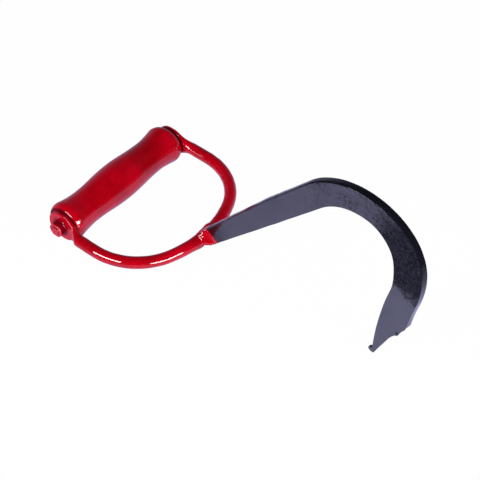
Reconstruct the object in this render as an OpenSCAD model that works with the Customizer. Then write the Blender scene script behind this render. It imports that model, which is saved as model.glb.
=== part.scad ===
// Pulp hook: a flat steel hook welded to a bent rod handle, with a turned wooden grip on a through bolt.
// Millimetres. The handle's own frame has the bolt axis along Y through the origin, the bow reaching
// along +X and its plane at Z = 0. The finished object lies on the ground: it is turned about the bolt
// axis until the point touches the ground, and the grip's widest rings lie on it.

/* [Handle rod] */
// Diameter of the handle rod
rod_d = 9.5; // [8:0.5:12]
// Reach of the handle, from the bolt axis to the rod's centre at the middle of the bow
bow_reach = 86.6; // [78:0.2:100]
// Radius of each corner of the handle, at the rod's centre
corner_r = 48; // [36:1:52]
// Radius of the flatter middle of the bow, at the rod's centre
bow_r = 95; // [80:1:130]

/* [Rod eyes] */
// Radius of the flattened round eye at each end of the rod
eye_r = 11.5; // [9:0.5:13]
// Thickness of the flattened eye
eye_t = 3.2; // [2.5:0.1:5]
// Distance from the bolt axis at which the eye begins to narrow
neck_start = 2.5; // [0:0.5:6]
// Distance from the bolt axis at which the flat eye begins to thicken
swell_start = 12; // [11:0.5:14]
// Distance from the bolt axis at which it is as thick as the rod
swell_end = 17; // [15.5:0.5:19]
// Distance from the bolt axis at which the neck is the full round rod
neck_end = 20; // [19:0.5:24]
// Rounding of the eye's rim
eye_edge = 0.6; // [0.2:0.1:1]

/* [Grip] */
// Length of the wooden grip
grip_len = 120.6; // [110:0.2:135]
// Radius of the swell in the middle of the grip
swell_r = 15.6; // [14:0.1:18]
// Radius of the necks on both sides of the swell
neck_r = 13.7; // [12:0.1:15]
// Radius of the flare near each end
flare_r = 15.8; // [14:0.1:18]
// Radius of the flat end face
end_face_r = 13; // [10:0.1:13.5]
// Steepness of the rise from a neck to its flare, from 1 for a straight cone
flare_power = 1.7; // [1.2:0.1:2.6]
// Distance of each neck from the grip's end
neck_in = 24; // [20:0.5:30]
// Distance of each flare from the grip's end
flare_in = 5.8; // [4:0.2:9]

/* [Bolt and nut] */
// Diameter of the through bolt
bolt_d = 6.35; // [5:0.05:8]
// Width across the flats of the bolt head and the nut
hex_flats = 11.1; // [9.5:0.1:13]
// Height of the bolt head
head_h = 4.3; // [3.5:0.1:6]
// Height of the nut
nut_h = 5.5; // [4:0.1:7]
// Length of bolt that stands out of the nut
bolt_tail = 0.8; // [0.4:0.1:4]

/* [Hook blade] */
// Thickness of the flat bar
bar_t = 6.35; // [5:0.05:9]
// Angle of the straight shank above the handle's plane
shank_angle = 48.8; // [42:0.2:55]
// Length of the straight shank
shank_len = 136; // [120:0.5:155]
// Radius of the first bend, at the middle of the bar
crown_r = 49; // [42:0.1:60]
// Angle of the first bend
crown_turn = 54; // [48:0.2:58]
// Radius of the second bend
heel_r = 43; // [38:0.1:52]
// Angle of the second bend
heel_turn = 73.6; // [66:0.2:80]
// Radius of the slack bend below it
ease_r = 72.4; // [60:0.2:110]
// Angle of the slack bend
ease_turn = 23; // [16:0.1:28]
// Radius of the beak, which curves the other way
beak_r = 277; // [200:1:450]
// Length of the beak along its middle
beak_len = 67.7; // [58:0.1:78]
// Width of the bar where it meets the weld
tang_w = 16.4; // [13:0.1:18]
// Width at the end of the shank
shank_w = 20; // [17:0.1:23]
// Width at the top of the hook
crown_w = 20.4; // [17:0.1:23]
// Width at the end of the second bend
heel_w = 23.2; // [19:0.1:25]
// Width of the beak
beak_w = 22; // [19:0.1:24]
// Eased edge along both sides of the bar
edge_ease = 0.5; // [0.2:0.1:1.2]
// Taper of the shank's upper edge, at the weld
top_taper = 3.1; // [0:0.1:3.5]
// Length of that taper
taper_len = 86; // [60:1:110]
// Length of the welding bevel on the end of the shank
prep_len = 3; // [2:0.5:6]
// Thickness left at the end of the welding bevel
prep_t = 3.4; // [2.4:0.1:4.5]

/* [Point] */
// Width of the blunt point beside its lip
point_w = 1.7; // [1.2:0.1:4]
// Slant of the cut across the point
end_angle = 9; // [0:1:14]
// Angle of the ground relief behind the point
relief_angle = 25; // [20:0.5:29]
// Length of the straight part of the relief
relief_len = 23.2; // [18:0.2:27]
// Radius of the hollow where the relief runs out
hollow_r = 34; // [25:1:45]
// Angle of the hollow
hollow_turn = 20; // [12:1:25]
// Angle of the shoulder bevel above the hollow
shoulder_angle = 34; // [26:1:40]
// Radius of the small lip turned over at the point
lip_r = 2.1; // [2:0.1:3.4]
// How far the lip stands out of the throat side
lip_out = 3.2; // [1.6:0.1:3.6]
// Thickness of the lip, which lies along the near face of the bar
lip_t = 3; // [1.5:0.1:4]

/* [Weld] */
// Height of the weld bead over the rod
bead_rise = 0.6; // [0.4:0.1:1.5]
// Length of the weld bead along the rod
bead_len = 14; // [11:0.5:20]
// Height of the weld bead over the flats of the bar
bead_over = 0.7; // [0.4:0.1:1.2]
// Height of the weld bead over the edges of the bar
bead_side = 0.4; // [0.2:0.1:1.2]

/* [Fits] */
// Gap between each end of the grip and the eye
end_float = 0.4; // [0.3:0.05:0.8]
// Radial clearance of the grip's bore on the bolt
grip_clear = 0.3; // [0.15:0.05:0.4]
// Radial clearance of the eye's hole on the bolt
eye_clear = 0.2; // [0.1:0.05:0.4]
// Radial clearance of the nut's thread on the bolt
thread_clear = 0.05; // [0.02:0.01:0.1]

/* [Hidden] */

red_paint = [0.72, 0.02, 0.06];
black_paint = [0.07, 0.07, 0.08];

// Sides of a round, and the largest turn of the bar between two of its sections
round_sides = 96;
arc_step = 4;
rod_sides = 32;
neck_rings = 16;
// The bead's thin skirt on the bar, and how far its toe sinks into the bar's flats
bead_skirt = 1;
bead_sink = 0.4;
// The neck lies this much inside the eye's faces, so that the eye keeps its own flats
neck_sink = 0.05;

// Places across the handle, measured from its middle
rod_r = rod_d / 2;
bolt_r = bolt_d / 2;
eye_in = grip_len / 2 + end_float;
eye_out = eye_in + eye_t;
leg_y = eye_in + rod_r;
rod_out = leg_y + rod_r;

// The two arcs of the handle meet on the line through their centres
arc_gap = bow_r - corner_r;
meet_angle = asin((leg_y - corner_r) / arc_gap);
bow_x = bow_reach - bow_r;
leg_end = bow_x + arc_gap * cos(meet_angle);

function ease(u) = (1 - cos(180 * u)) / 2;
function mix(a, b, u) = a + (b - a) * u;
function heading(a) = [cos(a), sin(a)];
function left_of(a) = [-sin(a), cos(a)];

// Points along an arc of radius r from p: turn is positive to the left
function arc_point(p, a, r, turn) =
    let (side = sign(turn), c = p + side * r * left_of(a))
    c - side * r * left_of(a + turn);

// The bar's middle line, as stretches of [radius, turn] after the straight shank
beak_turn = beak_len / beak_r * 180 / PI;
bends = [[crown_r, -crown_turn], [heel_r, -heel_turn], [ease_r, -ease_turn], [beak_r, beak_turn]];
widths = [shank_w, crown_w, heel_w, beak_w, beak_w];
shank_start = [bow_reach, 0] + rod_r * heading(shank_angle);
shank_end = shank_start + shank_len * heading(shank_angle);

function bend_from(k) =
    k == 0 ? [shank_end, shank_angle]
    : let (b = bend_from(k - 1))
      [arc_point(b[0], b[1], bends[k - 1][0], bends[k - 1][1]), b[1] + bends[k - 1][1]];

// One section of the bar: its place, its direction, its width and its thickness
function shank_section(s, t) =
    let (cut = top_taper * max(0, 1 - s / taper_len))
    [shank_start + s * heading(shank_angle) - cut / 2 * left_of(shank_angle), shank_angle,
     mix(tang_w, shank_w, s / shank_len) - cut, t];
shank_sections = [shank_section(0, prep_t), for (s = [prep_len, taper_len, shank_len]) shank_section(s, bar_t)];
function bend_sections(k) =
    let (b = bend_from(k), r = bends[k][0], turn = bends[k][1], n = ceil(abs(turn) / arc_step))
    [for (i = [1 : n])
        [arc_point(b[0], b[1], r, turn * i / n), b[1] + turn * i / n,
         mix(widths[k], widths[k + 1], ease(i / n)), bar_t]];
sections = concat(shank_sections, [for (k = [0 : len(bends) - 1]) each bend_sections(k)]);

// The point, in a frame with its origin on the throat side of the beak's end
beak_end = bend_from(len(bends));
tip_turn = beak_end[1];
tip_origin = beak_end[0] - beak_w / 2 * left_of(tip_turn);
point_corner = tip_origin + point_w * left_of(tip_turn);

// Height of the ground under the bolt axis, and the turn that brings the point down to it
ground_r = max(flare_r, swell_r);
rest_tilt = asin(ground_r / norm(point_corner)) + atan2(point_corner[1], point_corner[0]);

// Middle of the object's length, with the blade turned to its place on the ground
function turned_x(p) = p[0] * cos(rest_tilt) + p[1] * sin(rest_tilt);
far_x = max([for (s = sections) turned_x(s[0] + s[2] / 2 * left_of(s[1]))]);
mid_x = (far_x - ground_r) / 2;

// Puts the handle's frame in its place on the ground
module at_rest() {
    translate([-mid_x, 0, ground_r])
        rotate([0, rest_tilt, 0])
            children();
}

// Turns a drawing in the plane of the hook into a slab of the given thickness
module slab(t) {
    rotate([90, 0, 0])
        linear_extrude(t, center = true)
            children();
}

// Joins rings of points, all of one count, into a closed solid
module skin(rings) {
    n = len(rings[0]);
    last = len(rings) - 1;
    sides = [for (i = [0 : last - 1], j = [0 : n - 1])
        [i * n + j, i * n + (j + 1) % n, (i + 1) * n + (j + 1) % n, (i + 1) * n + j]];
    halves = [for (f = sides) each [[f[0], f[1], f[2]], [f[0], f[2], f[3]]]];
    start_cap = [for (j = [n - 1 : -1 : 0]) j];
    end_cap = [for (j = [0 : n - 1]) last * n + j];
    polyhedron([for (r = rings) each r], concat([start_cap], halves, [end_cap]));
}

// Eight-sided section of the bar, with its four long edges eased
function bar_ring(s) =
    let (w = s[2] / 2, t = s[3] / 2, e = edge_ease, n = left_of(s[1]))
    [for (c = [[w, e - t], [w, t - e], [w - e, t], [e - w, t], [-w, t - e], [-w, e - t], [e - w, -t], [w - e, -t]])
        [s[0][0] + c[0] * n[0], c[1], s[0][1] + c[0] * n[1]]];

// The waste round the point: under the slanted cut, behind the straight relief, its hollow and the
// shoulder bevel
module relief() {
    past = beak_w;
    line_end = [point_w, 0] + relief_len * [sin(relief_angle), cos(relief_angle)];
    hollow = [for (i = [0 : 6]) let (a = relief_angle + hollow_turn * i / 6)
        line_end + hollow_r * [cos(relief_angle) - cos(a), sin(a) - sin(relief_angle)]];
    bevel_end = hollow[len(hollow) - 1] + past * [sin(shoulder_angle), cos(shoulder_angle)];
    far_v = bevel_end[0] + past;
    near_v = point_w - past;
    polygon(concat([[point_w, 0]], hollow,
        [bevel_end, [far_v, bevel_end[1]], [far_v, -past], [near_v, -past], [near_v, past * tan(end_angle)]]));
}

// The lip at the point is the round end of a short slab that runs into the bar
module lip() {
    translate([lip_r - lip_out, lip_r])
        circle(lip_r, $fn = round_sides);
    translate([lip_r - lip_out, 0])
        square([lip_out, lip_r]);
}

// Places a drawing at the end of the beak, with its origin on the throat side and its Y up the beak
module at_point() {
    translate(tip_origin)
        rotate(tip_turn + 90)
            children();
}

module blade_bar() {
    skin([for (s = sections) bar_ring(s)]);
}

module hook_blade() {
    color(black_paint)
        at_rest()
            difference() {
                union() {
                    blade_bar();
                    translate([0, edge_ease + (lip_t - bar_t) / 2, 0])
                        slab(lip_t)
                            at_point()
                                lip();
                }
                slab(2 * bar_t)
                    at_point()
                        relief();
            }
}

// Flat eye with a rounded rim, bored for the bolt
module eye_disc() {
    translate([0, eye_in, 0])
        rotate([-90, 0, 0])
            rotate_extrude($fn = round_sides)
                polygon([[0, 0], [eye_r - eye_edge, 0], [eye_r, eye_edge], [eye_r, eye_t - eye_edge],
                    [eye_r - eye_edge, eye_t], [0, eye_t]]);
}

// A section of the handle is its centre, its direction, its half thickness across the plane, its half
// width in height and its fullness, from nearly square at the eye to 1 for the round rod. The neck's
// inner side stays level with the eye, and its outer side rises to the rod.
eye_fullness = 0.3;
function smooth_step(x, from, to) = ease(min(1, max(0, (x - from) / (to - from))));
function neck_section(x) =
    let (thick = smooth_step(x, swell_start, swell_end),
         low = eye_in + neck_sink * (1 - thick),
         high = mix(eye_out - neck_sink, rod_out, thick),
         half_up = mix(eye_r - neck_sink, rod_r, smooth_step(x, neck_start, neck_end)))
    [[x, (low + high) / 2], 0, (high - low) / 2, half_up,
     mix(eye_fullness, 1, smooth_step(x, swell_start, neck_end))];
function rod_section(centre, r, a) = [centre + r * heading(a), a - 90, rod_r, rod_r, 1];
function arc_sections(centre, r, from, to) =
    let (n = ceil(abs(to - from) / arc_step))
    [for (i = [0 : n]) rod_section(centre, r, from + (to - from) * i / n)];
function other_side(s) = [[s[0][0], -s[0][1]], -180 - s[1], s[2], s[3], s[4]];
function backwards(list) = [for (i = [len(list) - 1 : -1 : 0]) list[i]];

neck = [for (i = [0 : neck_rings]) neck_section(neck_end * i / neck_rings)];
corner = arc_sections([leg_end, leg_y - corner_r], corner_r, 90, meet_angle);
bow = arc_sections([bow_x, 0], bow_r, meet_angle, -meet_angle);
side = concat(neck, corner);
bow_inside = [for (i = [1 : len(bow) - 2]) bow[i]];

function rod_ring(s) =
    [for (j = [0 : rod_sides - 1])
        let (a = 360 * j / rod_sides,
             across = s[2] * sign(sin(a)) * pow(abs(sin(a)), s[4]),
             up = s[3] * sign(cos(a)) * pow(abs(cos(a)), s[4]),
             p = s[0] + across * left_of(s[1]))
        [p[0], p[1], up]];

module rod_skin(list) {
    skin([for (s = list) rod_ring(s)]);
}

module d_frame() {
    color(red_paint)
        at_rest()
            difference() {
                union() {
                    rod_skin(concat(side, bow_inside, [for (s = backwards(side)) other_side(s)]));
                    eye_disc();
                    mirror([0, 1, 0])
                        eye_disc();
                }
                rotate([90, 0, 0])
                    cylinder(2 * eye_out + 2, r = bolt_r + eye_clear, center = true, $fn = round_sides);
            }
}

// Puts a block on one section of the bar, centred on it
module on_section(s) {
    translate([s[0][0], 0, s[0][1]])
        rotate([0, -s[1], 0])
            children();
}

// A sleeve of the given length and height round the middle of the bow
module on_bow(length, height) {
    translate([bow_reach, 0, 0])
        rotate([90, 0, 0])
            cylinder(length, r = rod_r + height, center = true, $fn = rod_sides);
}

// The bead wraps the bevelled end of the bar and runs out on the rod to both sides
module weld_bead() {
    root = shank_section(0, prep_t + 2 * bead_over);
    toe = shank_section(prep_len - bead_skirt, bar_t - bead_sink);
    color(red_paint)
        at_rest()
            difference() {
                hull() {
                    on_bow(bead_len, bead_skirt / 10);
                    on_bow(bar_t + 2 * bead_over, bead_rise);
                    on_section(root)
                        cube([2 * bead_skirt, root[3], root[2] + 2 * bead_side], center = true);
                    on_section(toe)
                        cube([bead_skirt, toe[3], toe[2] + bead_side / 2], center = true);
                }
                rod_skin(bow);
                blade_bar();
            }
}

// Radius of the turned grip at a distance y from its middle
neck_y = grip_len / 2 - neck_in;
flare_y = grip_len / 2 - flare_in;
function grip_radius(y) =
    y <= neck_y ? mix(swell_r, neck_r, ease(y / neck_y))
    : y <= flare_y ? mix(neck_r, flare_r, pow((y - neck_y) / (flare_y - neck_y), flare_power))
    : end_face_r + (flare_r - end_face_r) * sqrt(max(0, 1 - pow((y - flare_y) / flare_in, 2)));
half_ys = concat(
    [for (i = [0 : 7]) neck_y * i / 8],
    [for (i = [0 : 7]) mix(neck_y, flare_y, i / 8)],
    [for (i = [0 : 8]) flare_y + flare_in * sin(90 * i / 8)]);

module grip() {
    bore_r = bolt_r + grip_clear;
    half = [for (y = half_ys) [grip_radius(y), y]];
    other = [for (i = [len(half_ys) - 1 : -1 : 1]) [grip_radius(half_ys[i]), -half_ys[i]]];
    color(red_paint)
        at_rest()
            rotate([-90, 0, 0])
                rotate_extrude($fn = round_sides)
                    polygon(concat([[bore_r, -grip_len / 2]], other, half, [[bore_r, grip_len / 2]]));
}

// Hexagon with its corners turned off at the outer end, lying from y = 0 outwards
module hex_block(h) {
    hex_r = hex_flats / 2 / cos(30);
    crown_h = (hex_r - hex_flats / 2) * tan(30);
    rotate([-90, 0, 0])
        intersection() {
            cylinder(h, r = hex_r, $fn = 6);
            union() {
                cylinder(h - crown_h, r = hex_r + 1, $fn = round_sides);
                translate([0, 0, h - crown_h])
                    cylinder(crown_h, r1 = hex_r, r2 = hex_flats / 2, $fn = round_sides);
            }
        }
}

module grip_bolt() {
    tail = eye_out + nut_h + bolt_tail;
    color(red_paint)
        at_rest() {
            translate([0, -tail, 0])
                rotate([-90, 0, 0])
                    cylinder(tail + eye_out, r = bolt_r, $fn = round_sides);
            translate([0, eye_out, 0])
                hex_block(head_h);
        }
}

module grip_nut() {
    color(red_paint)
        at_rest()
            mirror([0, 1, 0])
                translate([0, eye_out, 0])
                    difference() {
                        hex_block(nut_h);
                        translate([0, -1, 0])
                            rotate([-90, 0, 0])
                                cylinder(nut_h + 2, r = bolt_r + thread_clear, $fn = round_sides);
                    }
}

echo(rest_tilt = rest_tilt, mid_x = mid_x, ground = ground_r, far_x = far_x, leg_end = leg_end, point = point_corner);

hook_blade();
d_frame();
weld_bead();
grip();
grip_bolt();
grip_nut();
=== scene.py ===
import math

import bmesh
import bpy
import numpy as np
from mathutils import Matrix, Vector


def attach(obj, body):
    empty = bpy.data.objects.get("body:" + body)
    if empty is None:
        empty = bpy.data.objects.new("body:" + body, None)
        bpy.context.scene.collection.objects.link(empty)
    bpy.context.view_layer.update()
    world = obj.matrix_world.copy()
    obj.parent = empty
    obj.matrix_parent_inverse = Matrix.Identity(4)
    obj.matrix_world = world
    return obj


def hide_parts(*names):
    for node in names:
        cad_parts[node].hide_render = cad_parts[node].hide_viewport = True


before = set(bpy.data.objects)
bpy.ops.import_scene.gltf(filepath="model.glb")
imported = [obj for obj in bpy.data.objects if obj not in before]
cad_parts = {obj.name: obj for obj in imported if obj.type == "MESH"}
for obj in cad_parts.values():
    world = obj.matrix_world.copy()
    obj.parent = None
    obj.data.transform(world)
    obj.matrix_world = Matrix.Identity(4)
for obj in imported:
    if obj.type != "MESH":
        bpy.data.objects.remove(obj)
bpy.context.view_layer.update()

# Pulp hook. Lengths are millimetres in the handle's own frame: the bolt's axis lies along Y through the
# origin, the bow reaches along +X and its plane is at Z = 0. at_rest() lays the tool on the ground.

# How the tool lies
REST_TILT = math.radians(1.701)
MIDDLE_X = 129.0
GROUND_DROP = 15.8

# Handle rod and its eyes
ROD_R = 4.75
BOW_REACH = 86.6
CORNER_R = 48.0
BOW_R = 95.0
EYE_T = 3.2
# Each eye: its radius, how round its rim is, where the pressed flat starts and ends to rise to the rod, and
# how far its outline sits above the bolt
NEAR_EYE = (11.5, 0.75, (11.2, 20.5), 0.8)
FAR_EYE = (11.6, 1.5, (9.0, 21.0), 0.6)
NARROW_START, NECK_END = 2.5, 20.0
# The first ring's distance from the end of the eye, and the distance between rings on the leg
FIRST_RING, LEG_STEP = 0.02, 0.6
# The flat's rise is a sum of two curves, one of which starts sooner, as the rounding of the section does
LATE_RISE, EARLY_RISE, EARLY_BY, ROUND_BY = 0.8, 0.2, 6.0, 5.0
# How much of the disc's edge is lost at the top and the bottom of the rod
FLANK_LOSS = 0.75
# Weld metal and sagged paint on the rod's underside and on its top: place along Y, height and reach
ROOT_UNDER, ROOT_OVER = (0.0, 0.85, 12.0), (0.0, 0.75, 5.5)
# Lumps of weld metal on the rod: place, height and reach
WELD_LUMPS = (((84.0, 6.0, 4.5), 1.3, 3.5), ((88.6, -8.5, -3.4), 0.8, 4.5))
# Unevenness of the paint on the rod: its depth, the length of its waves and their seed
ROD_PAINT = (0.07, 9.0, 3)

# Grip
GRIP_LEN = 120.6
SWELL_R, NECK_R, FLARE_R, END_FACE_R = 15.6, 13.7, 15.8, 13.0
NECK_IN, FLARE_IN, FLARE_POWER = 24.0, 5.8, 1.7
BORE_R = 3.475
# The far end stands back from its eye, cut out of square: mean, half difference and where it is most
FAR_BACK, FAR_SKEW, SKEW_AT = 1.6, 0.8, math.radians(-60)
# Unevenness of the wood: height, length and seed of each set of waves
GRIP_WAVES = ((0.10, 46.0, 5), (0.05, 14.0, 6))
# How deep the uneven surface is set, and how far out from the end face's radius that is reached
GRIP_INSET, INSET_RUN = 0.1, 0.7

# Bolt and nut
BOLT_R = 3.175
HEX_FLATS = 11.1
HEAD_H, NUT_H, BOLT_TAIL = 4.3, 5.5, 0.8
# Paint fillet where a hexagon sits on the eye, the cone that turns its corners off, and its round end
FILLET, FILLET_H = 0.55, 0.9
CONE_OUT, CONE_SLOPE, CONE_SHARP = 0.05, 1.6, 6
END_EASE, END_EASE_H = 0.35, 0.45
# Heights of the two bands with closer rings, at the seat and at the end
SEAT_BAND, END_BAND = 1.2, 1.6
# Radius at which the paint on the head's end closes, and what the nut's bore stands clear of the bolt
HEAD_POLE, BORE_CLEAR = 0.4, 0.03
# The bolt's turned-off tail: distance from its end, and how much smaller the radius is there
TAIL = ((0.7, 0.03), (0.45, 0.12), (0.25, 0.3), (0.1, 0.6), (0.0, 1.1), (0.0, 1.9), (0.0, 2.7))

# Hook blade
BAR_T = 6.35
SHANK_ANGLE = math.radians(48.8)
SHANK_LEN = 136.0
# Each bend: its length along the bar, its radius, its side (-1 turns down) and the width at its end
BENDS = [
    (49.0 * math.radians(54.0), 49.0, -1, 20.4),
    (43.0 * math.radians(73.6), 43.0, -1, 23.2),
    (72.4 * math.radians(23.0), 72.4, -1, 22.0),
    (67.7, 277.0, 1, 22.0),
]
BAR_LEN = SHANK_LEN + sum(bend[0] for bend in BENDS)
# Lengths of the two stretches with closer rings, at the root and at the point
ROOT_BAND, POINT_BAND = 6.0, 9.0
TANG_W, SHANK_W, BEAK_W = 16.4, 20.0, 22.0
# How much the top edge is cut down at the root, and the length over which that runs out
TOP_TAPER, TAPER_LEN = 3.1, 86.0
# Both faces are ground down at the root for welding: length, and thickness left
PREP_LEN, PREP_T = 3.0, 3.4
# How round the arrises are on the throat side, and on the outer side up to where it sharpens to the same
BAR_EASE, OUTER_EASE, SHARPENS = 0.5, 1.1, (185.0, 225.0)
# The outer edge is crowned, then bevelled towards the near face: depths, where each bevel comes in, and
# where up the beak the bevel ends at the ground edge
EDGE_CROWN, HEEL_BEVEL, BEAK_BEVEL = 0.28, 0.6, 0.95
HEEL_IN, BEAK_IN, BEVEL_END = (165.0, 190.0), (215.0, 245.0), (34.0, 38.0)
# A burr and a chip where the hollow meets the bevel, and a nick in the shank: place, size, half width
BURR, CHIP, NICK = (31.2, 0.95, 0.95), (33.3, 0.75, 0.75), (99.3, 0.5, 0.7)
# Hammer marks: depth on straight parts, what the bends add, where they start and stop, and the coat's depth
MARKS, BEND_MARKS, HAMMERED_FROM, HAMMERED_TO, FACE_INSET = 0.02, 0.05, (96.0, 150.0), (262.0, 284.0), 0.09
# How uneven the two edges are and how deep that is set, and the length over which both ends stay true
EDGE_UNEVEN, EDGE_INSET, TRUE_END = 0.12, 0.06, 6.0
# Waves of the hammer marks, of their sharper part and of the two edges: length and seed
DENT_WAVES, SHARP_WAVES, EDGE_WAVES = (16.0, 21), (6.0, 22), (24.0, 23)

# Point, drawn from the throat side of the beak's end
POINT_W = 1.7
END_ANGLE, END_RUN = math.radians(9.0), 4.0
RELIEF_ANGLE, RELIEF_LEN = math.radians(25.0), 23.2
HOLLOW_R, HOLLOW_TURN = 34.0, math.radians(20.0)
SHOULDER_ANGLE, SHOULDER_LEN = math.radians(34.0), 24.0
SHOULDER_SHARP = 5
LIP_R, LIP_OUT, LIP_T, LIP_RUN, LIP_EASE = 2.1, 3.2, 3.0, 0.25, 0.7

# Weld: where the collar starts inside the rod, its toe on the bar, and where the film of paint past the toe
# ends on the outer side and on the throat side
WELD_START, WELD_TOE, FILM_OUTER, FILM_THROAT = -4.0, 3.6, 6.2, 9.0
WELD_FILM = 0.1
# How far the bead reaches along the rod, and its half height on the outer side and on the throat side
BEAD_REACH, BEAD_OUTER, BEAD_THROAT = 8.4, 4.6, 5.3
# The bead's curves on the outer side and on the throat side: the power by which its reach falls, and how
# soon its height meets the bar. The last is the power that squares its sections off to the bar's own
BEAD_FALL, BEAD_MEETS, BAR_POWER = (0.6, 0.9), (1.25, 2.0), 0.26
# Lumps of the bead: height, length and seed of each set of waves
WELD_WAVES = ((0.42, 4.6, 31), (0.2, 2.2, 32))

# Gap between each end of the grip and its eye
END_FLOAT = 0.4
# The eyes' faces, the legs' middle lines, and the bow: its centre, and where its corner arcs begin and end
EYE_IN = GRIP_LEN / 2 + END_FLOAT
EYE_OUT = EYE_IN + EYE_T
LEG_Y = EYE_IN + ROD_R
BOW_X = BOW_REACH - BOW_R
ARC_GAP = BOW_R - CORNER_R
MEET = math.asin((LEG_Y - CORNER_R) / ARC_GAP)
LEG_END = BOW_X + ARC_GAP * math.cos(MEET)


# Curves

def ease(u):
    """Half a cosine wave, from 0 at u = 0 to 1 at u = 1."""
    return (1 - np.cos(np.pi * np.clip(u, 0, 1))) / 2


def between(x, start, end):
    """0 up to the start and 1 from the end on, along half a cosine wave."""
    return ease((x - start) / (end - start))


def mix(a, b, u):
    """a at u = 0 and b at u = 1."""
    return a + (b - a) * u


def bell(x, at, height, reach):
    """Bell curve: its height at the place, and about a third of it one reach away."""
    return height * np.exp(-((x - at) / reach) ** 2)


def soft_min(a, b, sharpness):
    """The smaller of two values, with the change from one to the other rounded off."""
    return -np.log(np.exp(-a * sharpness) + np.exp(-b * sharpness)) / sharpness


def smooth_sign(x):
    """-1 to 1 between -0.6 and 0.6, along half of 3x - x^3."""
    x = np.clip(x / 0.6, -1, 1)
    return (3 * x - x ** 3) / 2


def signed_power(x, power):
    """The size of x to a power, with x's own sign."""
    return np.sign(x) * np.abs(x) ** power


def along(angle):
    """Direction at an angle from +X."""
    return np.stack([np.cos(angle), np.sin(angle)], -1)


def left_of(angle):
    """Direction a quarter turn to the left of an angle."""
    return np.stack([-np.sin(angle), np.cos(angle)], -1)


def unit(vectors):
    """Vectors of length 1 in the same directions."""
    return vectors / np.maximum(np.linalg.norm(vectors, axis=-1, keepdims=True), 1e-6)


def circle(sides):
    """Angles of evenly spaced points round a ring."""
    return np.linspace(0, 2 * np.pi, sides, endpoint=False)[None]


def ripple(points, wavelength, seed, waves=9):
    """A smooth uneven field from about -1 to 1: the mean of sine waves of about one length in seeded
    directions, times 2."""
    rng = np.random.default_rng(seed)
    way = rng.normal(size=(waves, 3))
    way *= (2 * np.pi / wavelength / np.linalg.norm(way, axis=1))[:, None] * rng.uniform(0.6, 1.4, (waves, 1))
    return 2 * np.sin(points @ way.T + rng.uniform(0, 2 * np.pi, waves)).mean(-1)


def ripples(points, sets):
    """Sum of ripples, each of its own height, length and seed."""
    return sum(height * ripple(points, wavelength, seed) for height, wavelength, seed in sets)


# Meshes

def at_rest(points):
    """Handle's frame in millimetres to the ground's frame in metres: a turn about Y, then a shift."""
    x, y, z = points[..., 0], points[..., 1], points[..., 2]
    c, s = math.cos(REST_TILT), math.sin(REST_TILT)
    return np.stack([x * c + z * s - MIDDLE_X, y, z * c - x * s + GROUND_DROP], -1) / 1000


def tube_faces(rows, cols):
    """Quads of a grid of rows that each close on themselves."""
    row, col = np.meshgrid(np.arange(rows - 1), np.arange(cols), indexing="ij")
    here = row * cols
    after = (col + 1) % cols
    return np.stack([here + col, here + after, here + cols + after, here + cols + col], -1).reshape(-1, 4)


def skin(rings, loop=False):
    """Points, quads and triangles of rings of points. The two ends close on the middle of their rings, or
    on each other."""
    rows, cols = rings.shape[:2]
    points = rings.reshape(-1, 3)
    quads = tube_faces(rows, cols)
    col = np.arange(cols)
    after = (col + 1) % cols
    last = (rows - 1) * cols
    if loop:
        seam = np.stack([last + col, last + after, after, col], -1)
        return points, np.vstack([quads, seam]), np.zeros((0, 3), int)
    poles = np.stack([rings[0].mean(0), rings[-1].mean(0)])
    near_end = np.stack([np.full(cols, len(points)), after, col], -1)
    far_end = np.stack([np.full(cols, len(points) + 1), last + col, last + after], -1)
    return np.vstack([points, poles]), quads, np.vstack([near_end, far_end])


def volume(points, triangles):
    """Six times the volume inside the triangles, below 0 where they point inwards."""
    a, b, c = (points[triangles[:, k]] for k in range(3))
    return np.einsum("ij,ij->i", a, np.cross(b, c)).sum()


def piece(name, shell, node, body, finish, crease=40):
    """Object made of one closed shell in the handle's frame, with its faces turned outwards."""
    points, quads, triangles = shell
    cut = np.vstack([quads[:, [0, 1, 2]], quads[:, [0, 2, 3]], triangles])
    if volume(points - points.mean(0), cut) < 0:
        quads, triangles = quads[:, ::-1], triangles[:, ::-1]
    mesh = bpy.data.meshes.new(name)
    mesh.from_pydata(at_rest(points).tolist(), [], quads.tolist() + triangles.tolist())
    shape = bmesh.new()
    shape.from_mesh(mesh)
    bmesh.ops.remove_doubles(shape, verts=shape.verts, dist=1e-6)
    shape.to_mesh(mesh)
    shape.free()
    mesh.shade_smooth()
    mesh.set_sharp_from_angle(angle=math.radians(crease))
    obj = bpy.data.objects.new(name, mesh)
    bpy.context.scene.collection.objects.link(obj)
    mesh.materials.append(finish)
    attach(obj, body)
    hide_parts(node)


# Handle

def rounded_ring(angle, half_out, half_up, corner):
    """Rounded rectangle: a circle of the corner's radius, moved out to the four sides by a smoothed sign."""
    out = corner * np.sin(angle) + (half_out - corner) * smooth_sign(np.sin(angle))
    up = corner * np.cos(angle) + (half_up - corner) * smooth_sign(np.cos(angle))
    return out, up


def handle_path(eye_r):
    """Half of the handle's middle line, from the far end of the eye to the middle of the bow: places,
    headings, and the number of them on the straight leg. They are closest at the eye's end, where its
    circle is steep."""
    round_end = FIRST_RING - eye_r + (eye_r - 1) * 2 * ease(np.linspace(0, 0.5, 14))
    leg = np.concatenate([round_end, np.arange(-0.4, LEG_END, LEG_STEP)])
    turn = np.linspace(np.pi / 2, MEET, 86)[:-1]
    bow = np.linspace(MEET, 0, 52)
    straight = np.stack([leg, np.full_like(leg, LEG_Y)], -1)
    corner = np.array([LEG_END, LEG_Y - CORNER_R]) + CORNER_R * along(turn)
    middle = np.array([BOW_X, 0]) + BOW_R * along(bow)
    heading = np.concatenate([np.zeros_like(leg), turn - np.pi / 2, bow - np.pi / 2])
    return np.vstack([straight, corner, middle]), heading, len(leg)


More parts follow.
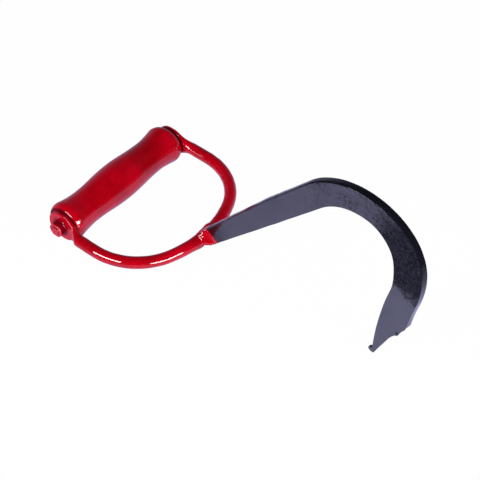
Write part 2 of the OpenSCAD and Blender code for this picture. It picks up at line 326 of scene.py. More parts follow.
def half_rings(eye_r, edge, press, rise):
    """Round rod swept along half of the handle. At the eye the section is a thin plate as high as the eye's
    circle; the outer face rises from the plate to the rod with the distance from the bolt, so that the
    pressed flat is a disc."""
    place, heading, leg_rows = handle_path(eye_r)
    x, y = place[:, 0, None], place[:, 1, None]
    leg = np.arange(len(place))[:, None] < leg_rows
    eye_up = np.sqrt(np.maximum(eye_r ** 2 - np.minimum(x, 0) ** 2, 0.0))
    narrowed = between(x, NARROW_START, NECK_END)
    half_up = np.where(leg, np.where(x < 0, eye_up, mix(eye_r, ROD_R, narrowed)), ROD_R)
    thick = LATE_RISE * between(x, *press) + EARLY_RISE * between(x, press[0] - EARLY_BY, press[1])
    thick = np.where(leg, thick, 1.0)
    half_plate = mix(EYE_T / 2, ROD_R, thick)
    rim = np.clip((eye_r + np.minimum(x, 0)) / edge, 0, 1)
    half_out = np.where(x < 0, half_plate - edge * (1 - np.sqrt(1 - (1 - rim) ** 2)), half_plate)
    corner = np.where(leg, mix(edge, ROD_R, between(x, press[0] - ROUND_BY, press[1])), ROD_R)
    corner = np.minimum(np.minimum(corner, half_out), half_up)
    out, up = rounded_ring(circle(72), half_out, half_up, corner)

    # The outer face of the neck stands out from the edge of the disc on
    lift = (between(np.hypot(x, up), *press) - thick) * (1 - FLANK_LOSS * (up / half_up) ** 2)
    lift = (2 * ROD_R - EYE_T) * lift * np.clip(out / half_out, 0, 1)
    out = out + np.where(leg & (out > 0), lift, 0.0) + np.where(leg, EYE_IN + half_plate - LEG_Y, 0.0)

    # Weld metal and sagged paint thicken the rod round the root of the blade, most of all on its underside
    over = 0.5 + 0.5 * up / ROD_R
    swell = 1 + mix(bell(y, *ROOT_UNDER), bell(y, *ROOT_OVER), over) / ROD_R
    out, up = out * swell, up * swell + rise * (1 - narrowed) * leg
    return np.concatenate([place[:, None] + out[..., None] * left_of(heading)[:, None], up[..., None]], -1)


def handle_rings():
    """The far half of the rod, and the near half turned over to the other side of the bow. Each lump of
    weld metal moves the points near it away from the rod's middle line, by a bell curve of their distance."""
    near = half_rings(*NEAR_EYE)[-2::-1] * np.array([1, -1, 1])
    rings = np.vstack([half_rings(*FAR_EYE), near])
    away = unit(rings - rings.mean(1, keepdims=True))
    for place, height, reach in WELD_LUMPS:
        off = np.linalg.norm(rings - np.array(place), axis=-1, keepdims=True)
        rings = rings + away * bell(off, 0.0, height, reach)
    return rings


def with_paint(rings, depth, wavelength, seed):
    """Paint of uneven thickness: every point moves from its ring's middle by a small ripple."""
    out = rings - rings.mean(1, keepdims=True)
    reach = np.linalg.norm(out, axis=-1, keepdims=True)
    coat = depth * (ripple(rings, wavelength, seed) - 1)
    return rings + unit(out) * coat[..., None] * np.minimum(reach, 1)


# Turned and hexagonal pieces, drawn round the bolt's axis

def turned(radius, y, angle):
    """Rings round the Y axis: radius and y may change from row to row and round the ring."""
    return np.stack(np.broadcast_arrays(radius * np.sin(angle), y, radius * np.cos(angle)), -1)


def grip_radius(y):
    """Half cosine from the swell to each neck, a power curve up to the flare, and a quarter ellipse to the
    end face."""
    y = np.abs(y)
    neck_y, flare_y = GRIP_LEN / 2 - NECK_IN, GRIP_LEN / 2 - FLARE_IN
    swell = mix(SWELL_R, NECK_R, ease(y / neck_y))
    rise = mix(NECK_R, FLARE_R, np.clip((y - neck_y) / (flare_y - neck_y), 0, 1) ** FLARE_POWER)
    fall = mix(END_FACE_R, FLARE_R, np.sqrt(np.clip(1 - ((y - flare_y) / FLARE_IN) ** 2, 0, 1)))
    return np.where(y <= neck_y, swell, np.where(y <= flare_y, rise, fall))


def grip_rings():
    """The outside from end to end, then the end face, the bore and the other end face. The far half is
    drawn back from its eye, and the outside is a little uneven."""
    angle = circle(120)
    half = GRIP_LEN / 2
    flare_y = half - FLARE_IN
    side = np.linspace(0, flare_y, 64)
    shoulder = flare_y + FLARE_IN * np.sin(np.linspace(0, np.pi / 2, 15)[1:])
    y = np.concatenate([side, shoulder])
    y = np.concatenate([-y[:0:-1], y])
    face = np.linspace(END_FACE_R, BORE_R, 6)[1:]
    bore = np.linspace(half, -half, 12)[1:-1]
    radius = np.concatenate([grip_radius(y), face, np.full(len(bore), BORE_R), face[::-1]])[:, None]
    y = np.concatenate([y, np.full(len(face), half), bore, np.full(len(face), -half)])[:, None]
    back = between(y, 0, half) * (FAR_BACK + FAR_SKEW * np.cos(angle - SKEW_AT))
    rings = turned(radius, y - back, angle)
    outside = np.clip((radius - END_FACE_R) / INSET_RUN, 0, 1)
    scale = 1 + (ripples(rings, GRIP_WAVES) - GRIP_INSET) * outside / np.maximum(radius, 1)
    return rings * np.stack([scale, np.ones_like(scale), scale], -1)


def hexagon(angle, flats, softness=16):
    """Distance to a hexagon's side at each angle, with its corners softened by a high power mean."""
    faces = np.arange(3) * np.pi / 3
    reach = np.abs(np.cos(angle[..., None] - faces)) ** softness
    return flats / 2 * reach.sum(-1) ** (-1 / softness)


def hex_rings(height, side, inner):
    """Nut or head from its seat on the eye outwards: a paint fillet at the seat, six flats, corners turned
    off by a cone, and a flat end that runs in to the inner radius."""
    angle = circle(96)
    low, high = SEAT_BAND, height - END_BAND
    up = [np.linspace(0, low, 9), np.linspace(low, high, 6)[1:], np.linspace(high, height, 14)[1:]]
    up = np.concatenate(up)[:, None]
    down = height - up
    fillet = FILLET * np.clip(1 - up / FILLET_H, 0, 1) ** 2
    cone = HEX_FLATS / 2 + CONE_OUT + down * CONE_SLOPE
    edge = END_EASE * np.clip(1 - down / END_EASE_H, 0, 1) ** 2
    wall = soft_min(hexagon(angle, HEX_FLATS) + fillet, cone, CONE_SHARP) - edge
    face = mix(wall[-1:], inner, np.linspace(0, 1, 7)[1:, None])
    y = np.concatenate([up, np.full((len(face), 1), height)])
    return turned(np.vstack([wall, face]), side * (EYE_OUT + y), angle)


def nut_rings():
    """The nut's outside, and its bore back to the seat."""
    outside = hex_rings(NUT_H, -1, BOLT_R + BORE_CLEAR)
    bore_y = -(EYE_OUT + NUT_H * np.linspace(0.95, 0, 6))
    bore = outside[-1:] * np.array([1, 0, 1]) + np.array([0, 1, 0]) * bore_y[:, None, None]
    return np.vstack([outside, bore])


def bolt_rings():
    """The head from its end face, then the shaft, and at the near end the turned-off end under the paint."""
    head = hex_rings(HEAD_H, 1, HEAD_POLE)[::-1]
    end = -(EYE_OUT + NUT_H + BOLT_TAIL)
    shaft = np.linspace(EYE_OUT - 0.1, end + 1, 24)
    under_end, turned_in = np.array(TAIL).T
    y = np.concatenate([shaft, end + under_end])
    radius = BOLT_R - np.concatenate([np.zeros_like(shaft), turned_in])
    return np.vstack([head, turned(radius[:, None], y[:, None], circle(head.shape[1]))])


# Hook blade

BAR_START = np.array([BOW_REACH, 0]) + ROD_R * along(SHANK_ANGLE)


def bar_line(s):
    """Middle line of the bar at the distances s: one straight, then arcs that each start where the last one
    ends. Returns places, headings and widths."""
    place = BAR_START + s[:, None] * along(SHANK_ANGLE)
    heading = np.full(len(s), SHANK_ANGLE)
    width = mix(TANG_W, SHANK_W, s / SHANK_LEN)
    done, at, way, wide = SHANK_LEN, BAR_START + SHANK_LEN * along(SHANK_ANGLE), SHANK_ANGLE, SHANK_W
    for length, radius, side, end_width in BENDS:
        on = s > done
        turn = side * (s[on] - done) / radius
        centre = at + side * radius * left_of(way)
        place[on] = centre - side * radius * left_of(way + turn)
        heading[on] = way + turn
        width[on] = mix(wide, end_width, ease((s[on] - done) / length))
        whole = side * length / radius
        at, way = centre - side * radius * left_of(way + whole), way + whole
        done, wide = done + length, end_width
    return place, heading, width


def relief_edge():
    """The ground edge behind the point: a straight, a hollow arc and the shoulder bevel, as distance up the
    beak and distance from its throat side, on the beak's own curve."""
    line = np.linspace(0, RELIEF_LEN, 40)[:, None] * left_of(-RELIEF_ANGLE)
    turn = RELIEF_ANGLE + np.linspace(0, HOLLOW_TURN, 30)[1:]
    hollow = HOLLOW_R * (along(-RELIEF_ANGLE) - along(-turn))
    bevel = np.linspace(0, SHOULDER_LEN, 20)[1:, None] * left_of(-SHOULDER_ANGLE)
    path = np.vstack([line, line[-1] + hollow, line[-1] + hollow[-1] + bevel]) + np.array([POINT_W, 0])
    place, heading, _ = bar_line(np.array([BAR_LEN]))
    _, radius, side, _ = BENDS[-1]
    out, down = left_of(heading[0]), along(heading[0])
    spot = place[0] + (path[:, :1] - BEAK_W / 2) * out - path[:, 1:] * down
    arm = spot - (place[0] + side * radius * out)
    back = np.arctan2(arm @ down, arm @ -out)
    return -back * radius, radius - np.linalg.norm(arm, axis=1) + BEAK_W / 2


def bar_section(faces=34, sides=9, turns=5):
    """One ring round the bar: along the near face, round a corner, up the outer side and round the next
    corner, and then the same again turned over. Returns four rows: the share of the width, the share of the
    thickness, and how far a corner's point leans out across the width and across the thickness."""
    flat, tall = np.linspace(0, 1, faces), np.linspace(0, 1, sides)[1:-1]
    quarter = (np.arange(turns) + 0.5) / turns * np.pi / 2
    face, side, turn = np.zeros(faces), np.zeros(sides - 2), np.zeros(turns)
    half = np.concatenate([
        [flat, face, face, face - 1],
        [turn + 1, turn, np.sin(quarter), -np.cos(quarter)],
        [side + 1, tall, side + 1, side],
        [turn + 1, turn + 1, np.cos(quarter), np.sin(quarter)]], axis=1)
    return np.concatenate([half, np.array([[1], [1], [0], [0]]) - half], axis=1)


def blade_rings():
    """Rounded flat bar swept along the bent line. Across the bar it runs from the throat side to the outer
    side, or to the ground edge behind the point, and the lip swells out of the throat side at the near
    face."""
    first, last = ROOT_BAND, BAR_LEN - POINT_BAND
    s = [np.linspace(0, first, 16)[:-1], np.linspace(first, last, 640)[:-1], np.linspace(last, BAR_LEN, 56)]
    s = np.concatenate(s)
    place, heading, width = bar_line(s)
    way, left = along(heading)[:, None], left_of(heading)[:, None]
    ground = np.interp(BAR_LEN - s, *relief_edge(), right=99.0)
    s, width, ground = s[:, None], width[:, None], ground[:, None]
    tip = BAR_LEN - s
    low = -width / 2
    cut = TOP_TAPER * np.clip(1 - s / TAPER_LEN, 0, None)
    high = np.maximum(soft_min(width / 2 - cut, ground - width / 2, SHOULDER_SHARP), low + POINT_W)
    high = high + bell(tip, *BURR) - bell(tip, *CHIP) - bell(s, *NICK)
    outer_ease = mix(OUTER_EASE, BAR_EASE, between(s, *SHARPENS))
    thick = mix(PREP_T, BAR_T, np.clip(s / PREP_LEN, 0, 1))

    across, depth, lean_v, lean_y = bar_section()
    outer = (across == 1) & (lean_v != 0)
    corner = np.where(outer, outer_ease, BAR_EASE)
    y = (depth - 0.5) * (thick - 2 * corner) + lean_y * corner

    # The lip stands out of the throat side over the near part of the thickness only
    lip_y = LIP_T - BAR_T / 2
    rise = np.clip(1 - ((tip - LIP_R) / (LIP_R + LIP_RUN)) ** 2, 0, None) ** 0.6
    lip = LIP_OUT * rise * (1 - between(y, lip_y - LIP_EASE, lip_y + LIP_EASE))
    start = low - lip + BAR_EASE
    v = start + across * (high - outer_ease - start) + lean_v * corner

    # The outer edge's crown gives way to a bevel, deepest at the near face
    on_beak = between(s, *BEAK_IN)
    crown = EDGE_CROWN * (2 * y / thick) ** 2 * (1 - on_beak)
    bevel = mix(HEEL_BEVEL * between(s, *HEEL_IN), BEAK_BEVEL, on_beak) * (0.5 - y / thick)
    v = v - (crown + bevel) * outer * between(tip, *BEVEL_END)

    # The cut across the point slants up to the throat side
    slant = np.clip(1 - tip / END_RUN, 0, 1) * np.clip(POINT_W + low - v, 0, None) * math.tan(END_ANGLE)
    spot = place[:, None] + v[..., None] * left - slant[..., None] * way
    rings = np.stack([spot[..., 0], y, spot[..., 1]], -1)

    # Forging marks: the bar was hammered round the bends, and its edges are a little uneven
    marks = MARKS + BEND_MARKS * between(s, *HAMMERED_FROM) * (1 - between(s, *HAMMERED_TO))
    dents = marks * (0.7 * ripple(rings, *DENT_WAVES) + 0.5 * ripple(rings, *SHARP_WAVES) ** 3)
    root, point = np.clip(s / TRUE_END, 0, 1), np.clip(tip / TRUE_END, 0, 1)
    face_way = np.sign(y) * np.clip((np.abs(y) - thick / 2 + 2 * BAR_EASE) / BAR_EASE, 0, 1)
    rings[..., 1] += (dents - FACE_INSET) * face_way * root
    side_way = lean_v * (EDGE_UNEVEN * ripple(rings, *EDGE_WAVES) - EDGE_INSET) * point * root
    rings[..., [0, 2]] += side_way[..., None] * left
    return rings


def closed_tip(rings):
    """The last ring closes flat: its two faces draw together on the middle of the thickness."""
    steps = [rings[-1] * np.array([1, share, 1]) for share in (0.8, 0.45, 0.15, 0.0)]
    return np.concatenate([rings, np.stack(steps)])


# Weld

def weld_rings():
    """Collar along the shank's direction, from inside the rod to its toe on the bar, and then a film of red
    paint on the bar that reaches further on the throat side. The collar's length along the rod falls by a
    power curve and its sections go from an ellipse to the bar's rounded rectangle, with the lumps of a
    hand-laid bead."""
    angle = circle(96)
    under = (1 - np.cos(angle)) / 2
    rows = np.linspace(0, 1, 56)[:, None] ** 0.85
    s = mix(WELD_START, mix(FILM_OUTER, FILM_THROAT, under), rows)
    w = np.clip((s - WELD_START) / (WELD_TOE - WELD_START), 0, 1)
    half_y = BAR_T / 2 + WELD_FILM + BEAD_REACH * (1 - w) ** mix(*BEAD_FALL, under)
    cut = TOP_TAPER * (1 - np.clip(s, 0, None) / TAPER_LEN)
    half_bar = mix(TANG_W, SHANK_W, s / SHANK_LEN) / 2 - cut / 2
    on_bar = ease(w * mix(*BEAD_MEETS, under)) ** 0.8
    half_v = mix(mix(BEAD_OUTER, BEAD_THROAT, under), half_bar + WELD_FILM, on_bar)
    power = mix(1.0, BAR_POWER, w ** 1.5)
    y = half_y * signed_power(np.sin(angle), power)
    v = half_v * signed_power(np.cos(angle), power) - cut / 2 * between(w, 0.1, 0.8)
    up = left_of(SHANK_ANGLE)
    spot = BAR_START + s[..., None] * along(SHANK_ANGLE) + v[..., None] * up
    rings = np.stack([spot[..., 0], y, spot[..., 1]], -1)
    away = unit(np.stack([v * up[0], y, v * up[1]], -1))
    lumps = np.sin(np.pi * mix(0.03, 1.0, w)) ** 0.6 * ripples(rings, WELD_WAVES)
    return rings + away * lumps[..., None]


# Finishes

class Value:
    """A socket of a finish. Arithmetic on it adds Math nodes."""

    def __init__(self, finish, socket):
        self.finish, self.socket = finish, socket

    def maths(self, operation, *others):
        """One Math node, with this value as its first number."""
        return self.finish.node("ShaderNodeMath", {"operation": operation}, dict(enumerate((self, *others))))

    def __add__(self, other):
        return self.maths("ADD", other)

    def __sub__(self, other):
        return self.maths("SUBTRACT", other)

    def __rsub__(self, other):
        return self.finish.node("ShaderNodeMath", {"operation": "SUBTRACT"}, {0: other, 1: self})

    def __mul__(self, other):
        return self.maths("MULTIPLY", other)

    def __abs__(self):
        return self.maths("ABSOLUTE")

    __radd__, __rmul__ = __add__, __mul__


class Finish:
    """A node tree under construction."""

    def __init__(self, tree):
        self.tree = tree
        tree.nodes.clear()

    def node(self, kind, settings=None, sockets=None, out=0):
        """Adds a node: its settings first, then values or links for its sockets. Returns one output."""
        made = self.tree.nodes.new(kind)
        for key, value in (settings or {}).items():
            if key == "stops":
                ramp = made.color_ramp.elements
                while len(ramp) < len(value):
                    ramp.new(1.0)
                for stop, (position, colour) in zip(ramp, value):
                    stop.position, stop.color = position, colour
            else:
                setattr(made, key, value)
        for key, value in (sockets or {}).items():
            if isinstance(value, Value):
                self.tree.links.new(value.socket, made.inputs[key])
            else:
                made.inputs[key].default_value = value
        return Value(self, made.outputs[out]) if made.outputs else None

    def noise(self, place, scale, detail=3.0, roughness=0.55):
        """Uneven field from 0 to 1, mostly near a half. The scale is in waves to the metre."""
        sockets = {"Vector": place, "Scale": scale, "Detail": detail, "Roughness": roughness}
        return self.node("ShaderNodeTexNoise", {}, sockets)

    def step(self, value, low, high):
        """0 at low and 1 at high, smooth between them. Low may be the larger number."""
        sockets = {"Value": value, "From Min": low, "From Max": high}
        return self.node("ShaderNodeMapRange", {"interpolation_type": "SMOOTHSTEP"}, sockets)

    def blend(self, mask, first, second):
        """One colour where the mask is 0, the other where it is 1."""
        return self.node("ShaderNodeMix", {"data_type": "RGBA"}, {0: mask, 6: first, 7: second}, 2)

    def bump(self, height, strength, distance):
        """Direction of the surface as a height field tilts it."""
        return self.node("ShaderNodeBump", {}, {"Height": height, "Strength": strength, "Distance": distance})

    def handle_place(self):
        """Object coordinates turned back to the handle's own frame, in metres."""
        place = self.node("ShaderNodeTexCoord", out=3)
        shift = (MIDDLE_X / 1000, 0, -GROUND_DROP / 1000)
        shifted = self.node("ShaderNodeVectorMath", {"operation": "ADD"}, {0: place, 1: shift})
        return self.node("ShaderNodeMapping", {}, {"Vector": shifted, "Rotation": (0, -REST_TILT, 0)})

    def parts(self, vector):
        """X, Y and Z of a vector."""
        made = self.tree.nodes.new("ShaderNodeSeparateXYZ")
        self.tree.links.new(vector.socket, made.inputs[0])
        return [Value(self, socket) for socket in made.outputs]

    def length(self, x, y):
        """Square root of the sum of the squares."""
        return (x * x + y * y).maths("POWER", 0.5)


def new_material(name):
    """A material and its empty node tree."""
    material = bpy.data.materials.new(name)
    material.use_nodes = True
    return material, Finish(material.node_tree)


def coated(material, f, sockets):
    """Closes a material with paint under a gloss coat: one Principled shader with the sockets' values and
    links."""
    shader = f.node("ShaderNodeBsdfPrincipled", {}, {"Specular IOR Level": 0.0, **sockets})
    f.node("ShaderNodeOutputMaterial", {}, {"Surface": shader})
    return material


ENAMEL_RED = (0.46, 0.0003, 0.009, 1)
ENAMEL_DEEP = (0.33, 0.0002, 0.005, 1)
ENAMEL_THIN = (0.56, 0.001, 0.016, 1)
# Painted shade: the dark red laid into the gaps and corners round the grip, the eyes, the nut and the bolt's
# end
PAINTED_SHADE = (0.10, 0.0002, 0.006, 1)
# Where painted shade darkens the gaps and corners, in metres along the bolt and from its axis. Each pair is
# where a
# mask is 0 and where it is 1: the grip's ends, the eyes' inner faces, the corner between nut and eye, and
# round the bolt's end
GRIP_END = (0.0594, 0.0601)
EYE_FACE, EYE_FACE_R = (0.0618, 0.0612), (0.0150, 0.0130)
NUT_SEAT, NUT_END, NUT_R = (0.0630, 0.0642), (0.0694, 0.0680), (0.0088, 0.0066)
BOLT_END, BOLT_INNER, BOLT_OUTER = (0.0690, 0.0693), (0.0028, 0.0032), (0.0041, 0.0035)
# Scale of the brush marks along each axis: the smaller it is, the longer they are drawn out
EVEN, ALONG_GRIP = (1.0, 1.0, 1.0), (1.0, 0.12, 1.0)


def red_enamel(name, stretch, runs, wood=False):
    """Red gloss enamel laid on by brush: cloudy depth of colour, brush marks drawn out along one way, runs,
    dust, and painted shade in the gaps and corners, with less coat at the grip's ends and round the nut."""
    material, f = new_material(name)
    place = f.handle_place()
    x, y, z = f.parts(place)
    drawn = f.node("ShaderNodeMapping", {}, {"Vector": place, "Scale": stretch})
    clouds = f.noise(place, scale=38.0)
    brush = f.noise(drawn, scale=420.0, detail=4.0, roughness=0.6)
    sag = f.noise(place, scale=runs, detail=2.0)
    dust = f.noise(place, scale=2600.0, detail=1.0)
    colour = f.blend(f.step(clouds, 0.42, 0.68), ENAMEL_RED, ENAMEL_DEEP)
    colour = f.blend(f.step(brush, 0.58, 0.78) * 0.35, colour, ENAMEL_THIN)
    out = abs(y)
    if wood:
        # Painted shade at the grip's ends, in the gap by the eyes, with less coat there
        gap_shade = f.step(out, *GRIP_END)
        dark, gloss = gap_shade * 0.9, 1.0 - gap_shade * 0.7
    else:
        from_bolt = f.length(x, z)
        # Painted shade on the nut's flanks and the eye round it, round the bolt's end and on the eyes' inner
        # faces, with less coat round the nut
        nut_shade = f.step(out, *NUT_SEAT) * f.step(out, *NUT_END) * f.step(from_bolt, *NUT_R)
        ring = f.step(out, *BOLT_END) * f.step(from_bolt, *BOLT_INNER) * f.step(from_bolt, *BOLT_OUTER)
        gap_shade = f.step(out, *EYE_FACE) * f.step(from_bolt, *EYE_FACE_R)
        dark = (nut_shade * 0.85 + ring * 0.8 + gap_shade * 0.9).maths("MINIMUM", 1.0)
        gloss = 1.0 - nut_shade * 0.6
    height = brush * 0.5 + sag * 2.0 + f.step(dust, 0.66, 0.8) * 0.5
    return coated(material, f, {
        "Base Color": f.blend(dark, colour, PAINTED_SHADE),
        "Roughness": f.step(clouds, 0.3, 0.7) * 0.12 + 0.24,
        "Normal": f.bump(height, 0.5 if wood else 0.6, 0.00012),
        "Coat Weight": gloss, "Coat Roughness": 0.08, "Coat IOR": 1.5})


ENAMEL_BLACK = (0.0055, 0.0055, 0.0095, 1)
DUSTY_BLACK = (0.0140, 0.0130, 0.0230, 1)
# The hammered outside of the second bend, round the bend's own centre: metres and degrees, in pairs as above
HEEL_CENTRE, HEEL_X = (0.2167, 0.0796), (0.19, 0.21)
DULL_FROM, DULL_TO, RUBBED_TO = (92.0, 46.0), (-24.0, -10.0), (0.0, 14.0)
# How ragged the dull zone's ends are, and how much earlier it ends on the outer edge
RAGGED, EDGE_SOONER = 30.0, 32.0
# Metres from the middle of the thickness: where the outer edge gives way to the faces, and the two sides of
# a rounded arris
EDGE_HALF = (0.0029, 0.0024)
ARRIS_EDGE, ARRIS_FACE = (0.0014, 0.0022), (0.00304, 0.00296)
# The bends lie above and beyond these
BENT_Z, BENT_X = (0.075, 0.105), (0.15, 0.19)
CHIP_PLACE, CHIP_SIZE = (0.2592, 0.0251), (0.0013, 0.0007)
# Middle of the weld: red mist from the frame's paint dulls the black round it
WELD_PLACE, MIST_SIZE = (0.0897, 0.0036), (0.030, 0.008)
MIST = (0.016, 0.0035, 0.0055, 1)


def black_enamel(name):
    """Thick black gloss enamel on a hammered bar: the gloss is whole on the shank and the beak and broken
    on the hammered outside of the second bend, with pits, flecks, creases and fine scratches."""
    material, f = new_material(name)
    place = f.handle_place()
    x, y, z = f.parts(place)
    fine = f.noise(place, scale=1100.0, detail=3.0, roughness=0.65)
    pits = f.noise(place, scale=480.0, detail=4.0, roughness=0.7)
    coarse = f.noise(place, scale=130.0, detail=4.0, roughness=0.6)
    broad = f.noise(place, scale=45.0)
    crease = abs(f.noise(place, scale=230.0, detail=2.0, roughness=0.5) - 0.5)
    spots = f.noise(place, scale=640.0, detail=2.0, roughness=0.6)
    half = abs(y)
    on_edge = f.step(half, *EDGE_HALF)
    on_face = 1.0 - on_edge
    bent = f.step(z, *BENT_Z) * f.step(x, *BENT_X)
    outside = f.step(x, *HEEL_X)

    # The dull zone lies between two ragged lines across the bar, and round the chip
    round_heel = (z - HEEL_CENTRE[1]).maths("ARCTAN2", x - HEEL_CENTRE[0]) * (180 / math.pi)
    ragged = round_heel + (coarse - 0.5) * RAGGED + (pits - 0.5) * RAGGED
    upper = f.step(ragged, *DULL_FROM)
    lower = f.step(ragged - on_edge * EDGE_SOONER, *DULL_TO)
    chip = f.step(f.length(x - CHIP_PLACE[0], z - CHIP_PLACE[1]), *CHIP_SIZE)
    unchipped = 1.0 - chip
    dull = (upper * lower * outside).maths("MAXIMUM", chip)

    # Marks: each is 1 where it shows
    creased = f.step(crease, 0.022, 0.006) * f.step(coarse, 0.44, 0.56) * bent
    specks = f.step(fine, 0.60, 0.70) * f.step(coarse, 0.46, 0.56) * (1.0 - on_edge * 0.6) * unchipped
    flecks = f.step(spots, 0.64, 0.70) * on_face
    clouds = f.step(broad, 0.35, 0.7) * 0.12 + f.step(pits, 0.52, 0.38) * bent * 0.26 + creased * 0.6
    rubbed = bent.maths("MAXIMUM", upper * f.step(round_heel, *RUBBED_TO) * outside)
    arris = f.step(half, *ARRIS_EDGE) * f.step(half, *ARRIS_FACE) * rubbed
    mist = f.step(f.length(x - WELD_PLACE[0], z - WELD_PLACE[1]), *MIST_SIZE) * f.step(pits, 0.30, 0.55)

    lost = (0.97 - specks * 0.45 - flecks * 0.9).maths("MAXIMUM", 0.0)
    gloss = (1.0 - clouds) * (1.0 - dull * lost) * (1.0 - arris * 0.9) * (1.0 - mist * 0.55)
    dusty = dull * unchipped * on_face * f.step(pits, 0.37, 0.60)
    colour = f.blend(mist * 0.8, f.blend(dusty, ENAMEL_BLACK, DUSTY_BLACK), MIST)
    height = fine * 0.3 + coarse * 0.8 + specks * 0.8 - creased * 1.2
    return coated(material, f, {
        "Base Color": colour, "Roughness": coarse * 0.2 + 0.35, "Normal": f.bump(height, 0.4, 0.00008),
        "Coat Weight": gloss, "Coat Roughness": 0.12, "Coat IOR": 1.9})


# Pieces

frame_red = red_enamel("frame_enamel", EVEN, 120.0)
grip_red = red_enamel("grip_enamel", ALONG_GRIP, 60.0, wood=True)
hook_black = black_enamel("blade_enamel")

rod = skin(with_paint(handle_rings(), *ROD_PAINT))
piece("blade", skin(closed_tip(blade_rings())), "hook_blade", "frame", hook_black, crease=50)
piece("handle_rod", rod, "d_frame", "frame", frame_red, crease=60)
piece("weld", skin(weld_rings()), "weld_bead", "frame", frame_red, crease=70)
piece("grip_wood", skin(grip_rings(), loop=True), "grip", "grip", grip_red)
piece("bolt", skin(bolt_rings()), "grip_bolt", "frame", frame_red)
piece("nut", skin(nut_rings(), loop=True), "grip_nut", "frame", frame_red)


# Floor and surroundings

def seen_by(f):
    """1 for the camera's rays, for mirrored rays and for rays that pass through glass, one value each."""
    path = f.tree.nodes.new("ShaderNodeLightPath")
    kinds = ("Is Camera Ray", "Is Glossy Ray", "Is Transmission Ray")
    return [Value(f, path.outputs[kind]) for kind in kinds]


FLOOR_SIZE = 12.0
FLOOR_WHITE = 0.985
PAPER = (0.8, 0.8, 0.8, 1)
# In the tool's gloss the paper is a cool sheet, brighter on its right, that gives way to the room: colours,
# and metres across and from the middle
SHEET_LEFT, SHEET_RIGHT, ROOM_COLOUR = (0.52, 0.50, 0.82, 1), (0.84, 0.83, 1.30, 1), (0.30, 0.29, 0.45, 1)
SHEET_TURN, SHEET_END = (-0.15, 0.12), (0.15, 0.26)


def make_floor():
    """White to the camera, a cool sheet in the gloss, and plain paper that keeps the tool's shadow for the
    rest."""
    mesh = bpy.data.meshes.new("floor")
    half = FLOOR_SIZE / 2
    corners = [(-half, -half, 0), (half, -half, 0), (half, half, 0), (-half, half, 0)]
    mesh.from_pydata(corners, [], [(0, 1, 2, 3)])
    floor = bpy.data.objects.new("floor", mesh)
    bpy.context.scene.collection.objects.link(floor)
    material, f = new_material("floor_paper")
    camera, glossy, through = seen_by(f)
    x, y, _ = f.parts(f.node("ShaderNodeTexCoord", out=3))
    sheet = f.blend(f.step(x, *SHEET_TURN), SHEET_LEFT, SHEET_RIGHT)
    sheet = f.blend(f.step(f.length(x, y), *SHEET_END), sheet, ROOM_COLOUR)
    paper = f.node("ShaderNodeBsdfDiffuse", {}, {"Color": PAPER})
    white = f.node("ShaderNodeEmission", {}, {"Color": f.blend(glossy, (1, 1, 1, 1), sheet), "Strength": 1.0})
    shown = (camera + glossy + through).maths("MINIMUM", 1.0) * FLOOR_WHITE
    surface = f.node("ShaderNodeMixShader", {}, {0: shown, 1: paper, 2: white})
    f.node("ShaderNodeOutputMaterial", {}, {"Surface": surface})
    mesh.materials.append(material)


# The room in the tool's gloss, from the horizon up to the ceiling: height as a sine, and level
CEILING = [(0.0, 0.33), (0.1, 0.26), (0.3, 0.14), (0.63, 0.045), (0.8, 0.008), (1.0, 0.0)]
CEILING_BLUE = 1.5
# The room's plain light, and how far round to the back left the wall comes in and is whole
ROOM_LIGHT = (0.29, 0.29, 0.30, 1)
WALL = (-0.14, 0.6)


def make_world():
    """White behind the object; for the object's own light a plain grey, and in its gloss a pale wall at the
    back left."""
    world = bpy.data.worlds.new("studio")
    world.use_nodes = True
    bpy.context.scene.world = world
    f = Finish(world.node_tree)
    camera, glossy, through = seen_by(f)
    x, y, height = f.parts(f.node("ShaderNodeTexCoord", out=0))
    stops = [(at, (level, level, level * CEILING_BLUE, 1)) for at, level in CEILING]
    ceiling = f.node("ShaderNodeValToRGB", {"stops": stops}, {"Fac": height})
    walls = f.blend(f.step(y - x, *WALL), (0, 0, 0, 1), ceiling)
    colours = (ROOM_LIGHT, walls, (1, 1, 1, 1))
    room, above, white = (f.node("ShaderNodeBackground", {}, {"Color": c, "Strength": 1.0}) for c in colours)
    lit = f.node("ShaderNodeMixShader", {}, {0: glossy, 1: room, 2: above})
    shown = (camera + through).maths("MINIMUM", 1.0)
    surface = f.node("ShaderNodeMixShader", {}, {0: shown, 1: lit, 2: white})
    f.node("ShaderNodeOutputWorld", {}, {"Surface": surface})


# Softboxes: bearing and height in degrees as seen from the tool's middle
SOFTBOXES = {"left": (-96.0, 27.0), "right": (-12.0, 12.0)}
TOOL_MIDDLE = (-0.03, 0.0, 0.02)
BOX_WIDE, BOX_TALL = 0.72, 0.32
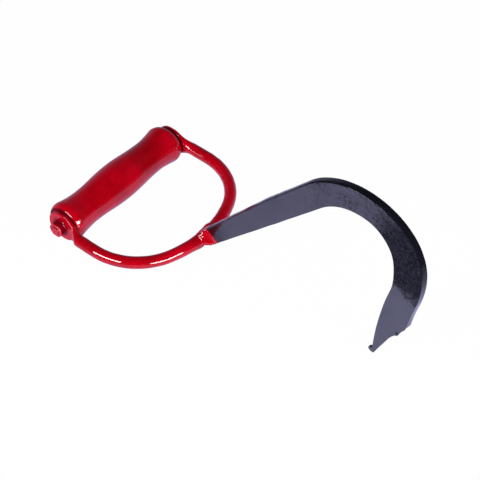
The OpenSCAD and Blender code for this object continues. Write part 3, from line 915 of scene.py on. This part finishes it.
# Each box as light and as seen in the tool's gloss: its radiance, and its distance in metres
BOX_PARTS = {"light": (14.5, 1.1), "shine": (30.0, 1.07)}


def make_lamps():
    """Two softboxes. Each is one lamp that lights the tool and one of the same size that shows in its
    gloss, and stands a little nearer because two lamps in one place hide each other there."""
    for name, (bearing, height) in SOFTBOXES.items():
        b, h = math.radians(bearing), math.radians(height)
        way = Vector((math.cos(h) * math.cos(b), math.cos(h) * math.sin(b), math.sin(h)))
        for part, (radiance, distance) in BOX_PARTS.items():
            lamp = bpy.data.lights.new(f"{name}_{part}", "AREA")
            lamp.shape, lamp.size, lamp.size_y = "RECTANGLE", BOX_WIDE, BOX_TALL
            lamp.energy = radiance * math.pi * BOX_WIDE * BOX_TALL
            obj = bpy.data.objects.new(f"{name}_{part}", lamp)
            obj.location = way * distance + Vector(TOOL_MIDDLE)
            obj.rotation_euler = way.to_track_quat("Z", "Y").to_euler()
            obj.visible_diffuse, obj.visible_glossy = part == "light", part == "shine"
            bpy.context.scene.collection.objects.link(obj)


# The photograph's viewing angle, as the camera's place in millimetres and its right and down directions
CAMERA_AT = (480.36, -647.02, 865.36)
CAMERA_RIGHT = (0.78148, 0.62345, 0.02454)
CAMERA_DOWN = (0.46076, -0.55015, -0.69644)
LENS_MM, FILM_MM = 120.0, 36.0
NEAREST, FURTHEST = 0.05, 50.0


def make_camera():
    """Long lens at the photograph's place, turned by three directions square to each other."""
    lens = bpy.data.cameras.new("camera")
    lens.sensor_width, lens.lens = FILM_MM, LENS_MM
    lens.clip_start, lens.clip_end = NEAREST, FURTHEST
    camera = bpy.data.objects.new("camera", lens)
    right = Vector(CAMERA_RIGHT).normalized()
    up = -Vector(CAMERA_DOWN).normalized()
    back = right.cross(up).normalized()
    turn = Matrix((right, back.cross(right), back)).transposed().to_4x4()
    camera.matrix_world = Matrix.Translation(Vector(CAMERA_AT) / 1000) @ turn
    bpy.context.scene.collection.objects.link(camera)
    bpy.context.scene.camera = camera


make_floor()
make_world()
make_lamps()
make_camera()
bpy.context.scene.view_settings.view_transform = "Standard"
